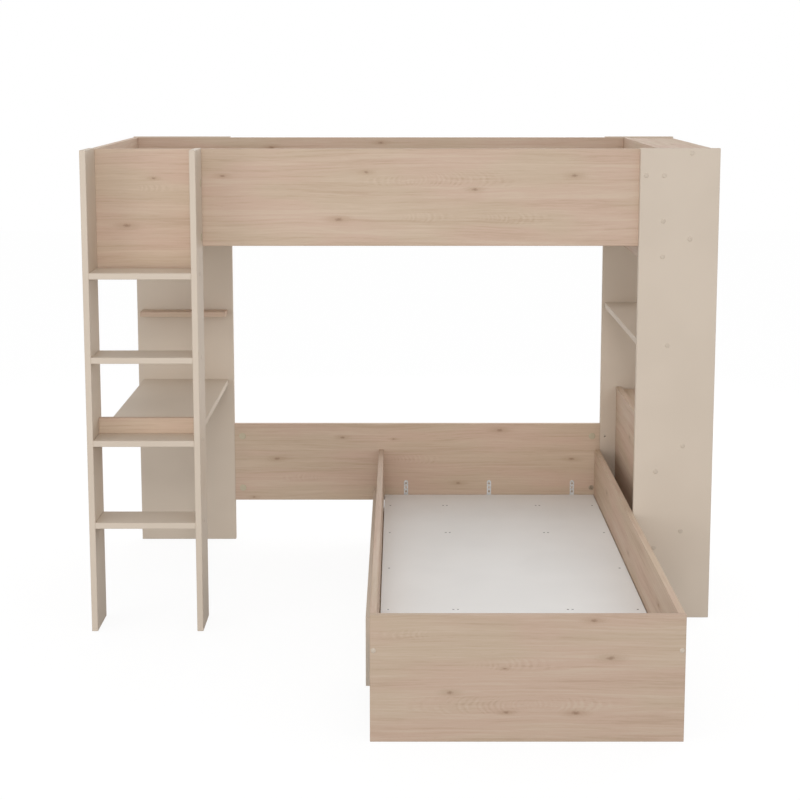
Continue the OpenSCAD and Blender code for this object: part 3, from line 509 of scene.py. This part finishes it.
def rawMaterial(along):
    # Planed softwood, grain along the given axis number
    m, t, shader = newMaterial("raw_wood_" + "xyz"[along])
    xyz = t.split(t.objectCoords())
    place = t.join(xyz[along], xyz[(along + 1) % 3], xyz[(along + 2) % 3])
    tone = useGroup(t, grainGroup, {"Place": place, "Bend": 0.0})["Tone"]
    colour = t.mix(t.ramp(tone, *rawWood["tone"]), linear(rawWood["dark"]), linear(rawWood["light"]))
    t.feed(shader.inputs["Base Color"], colour)
    t.feed(shader.inputs["Roughness"], t.ramp(tone, *rawWood["roughTone"], *rawWood["rough"]))
    roughen(t, shader, tone, rawWood["bump"], rawWood["relief"])
    return m


raw = [rawMaterial(axis) for axis in (0, 1, 2)]
for node in nodes:
    isLedger = "ledger" in node and "screws" not in node
    if isLedger or "_batten_" in node:
        low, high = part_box(node)
        dress(node, raw[int(np.argmax(np.array(high - low)))])
dress("dowels", raw[2])
print("white bases, ledgers, battens and dowels dressed")


spangle = {"scale": 260.0, "detail": 3.0, "grit": 0.6, "tone": (0.35, 0.65), "roughTone": (0.3, 0.7),
           "bump": 0.15, "relief": 0.0002}
steels = {
    "zinc_steel": {
        "tone": (224, 225, 226), "dull": (198, 199, 200), "rough": (0.56, 0.4),
        "nodes": ("base_brackets", "seam_plates", "cam_bolts", "bed_bolts", "barrel_nuts"),
    },
    "screw_steel": {
        "tone": (150, 150, 152), "dull": (112, 112, 114), "rough": (0.48, 0.32),
        "nodes": ("base_screws", "ledger_screws", "seam_screws", "panel_screws", "short_screws"),
    },
    "cam_zinc": {
        "tone": (190, 176, 158), "dull": (158, 144, 128), "rough": (0.52, 0.36),
        "nodes": ("cam_housings", "bracket_screws"),
    },
}


def steelMaterial(name, steel):
    m, t, shader = newMaterial(name)
    flakes = t.noise(t.objectCoords(), spangle["scale"], spangle["detail"], spangle["grit"])
    colour = t.mix(t.ramp(flakes, *spangle["tone"]), linear(steel["dull"]), linear(steel["tone"]))
    t.feed(shader.inputs["Base Color"], colour)
    shader.inputs["Metallic"].default_value = 1.0
    t.feed(shader.inputs["Roughness"], t.ramp(flakes, *spangle["roughTone"], *steel["rough"]))
    roughen(t, shader, flakes, spangle["bump"], spangle["relief"])
    return m


for name, steel in steels.items():
    material = steelMaterial(name, steel)
    for node in steel["nodes"]:
        dress(node, material)


plastics = {
    "cap_plastic": {
        "tone": (203, 189, 172), "shade": (195, 181, 165),
        "rough": (0.45, 0.55), "specular": 0.5, "bump": 0.3,
        "nodes": ("screw_caps", "bolt_caps"),
    },
    "cam_cover_plastic": {
        "tone": (192, 181, 156), "shade": (184, 174, 150),
        "rough": (0.45, 0.55), "specular": 0.5, "bump": 0.3,
        "nodes": ("cam_covers",),
    },
}
for name, plastic in plastics.items():
    material = foilMaterial(name, plastic)
    for node in plastic["nodes"]:
        dress(node, material)
print("fittings dressed")


studio = {
    "floorHalf": 14.0,
    "floor": (178, 177, 176), "world": 0.75,                            # what lights the bed
    "floorSeen": (250, 250, 250), "glow": 1.03, "glowShare": 0.88,      # what the background shows
    "worldSeen": 1.0,
    "aim": (0, 0, 0.9),                                                 # where the lamps point
}
lamps = {
    "front": {"place": (0, -12.0, 0.8), "size": 3.0, "power": 252.0},
    "high": {"place": (0, -11.0, 6.0), "size": 3.0, "power": 234.0},
    "side": {"place": (-3.5, -2.5, 1.2), "size": 2.0, "power": 20.0},
    "back": {"place": (0, 4.0, 2.2), "size": 2.5, "power": 30.0},
    "far": {"place": (3.5, 2.5, 1.2), "size": 2.0, "power": 51.0},
}


def seenShare(t):
    # 1 for rays that draw the background: straight from the camera, in a gloss or through glass
    path = t.put("ShaderNodeLightPath").outputs
    share = t.math("MAXIMUM", path["Is Camera Ray"], path["Is Glossy Ray"])
    return t.math("MAXIMUM", share, path["Is Transmission Ray"])


def makeFloor():
    half = studio["floorHalf"]
    corners = [(-half, -half, 0), (half, -half, 0), (half, half, 0), (-half, half, 0)]
    mesh = bpy.data.meshes.new("floor")
    mesh.from_pydata(corners, [], [(0, 1, 2, 3)])
    floor = bpy.data.objects.new("floor", mesh)
    bpy.context.scene.collection.objects.link(floor)
    material = bpy.data.materials.new("floor")
    material.use_nodes = True
    material.node_tree.nodes.clear()
    t = Tree(material.node_tree)
    share = seenShare(t)
    colour = t.mix(share, linear(studio["floor"]), linear(studio["floorSeen"]))
    matt = t.put("ShaderNodeBsdfDiffuse", {"Color": colour})
    glow = t.put("ShaderNodeEmission", {"Color": (1, 1, 1, 1), "Strength": studio["glow"]})
    glowing = t.math("MULTIPLY", share, studio["glowShare"])
    both = t.put("ShaderNodeMixShader", {0: glowing, 1: matt.outputs[0], 2: glow.outputs[0]})
    t.put("ShaderNodeOutputMaterial", {0: both.outputs[0]})
    mesh.materials.append(material)


def makeWorld():
    world = bpy.data.worlds.new("studio")
    bpy.context.scene.world = world
    world.use_nodes = True
    world.node_tree.nodes.clear()
    t = Tree(world.node_tree)
    strength = between(t, seenShare(t), (studio["world"], studio["worldSeen"]))
    sky = t.put("ShaderNodeBackground", {"Color": (1, 1, 1, 1), "Strength": strength})
    t.put("ShaderNodeOutputWorld", {0: sky.outputs[0]})


def makeLamp(name, lamp):
    data = bpy.data.lights.new(name, "AREA")
    data.shape = "SQUARE"
    data.size = lamp["size"]
    data.energy = lamp["power"]
    obj = bpy.data.objects.new(name, data)
    obj.location = lamp["place"]
    obj.rotation_euler = (Vector(studio["aim"]) - obj.location).to_track_quat("-Z", "Y").to_euler()
    obj.visible_camera = False
    bpy.context.scene.collection.objects.link(obj)


makeFloor()
makeWorld()
for name, lamp in lamps.items():
    makeLamp(name, lamp)
bpy.context.scene.view_settings.view_transform = "Standard"
print("studio made")
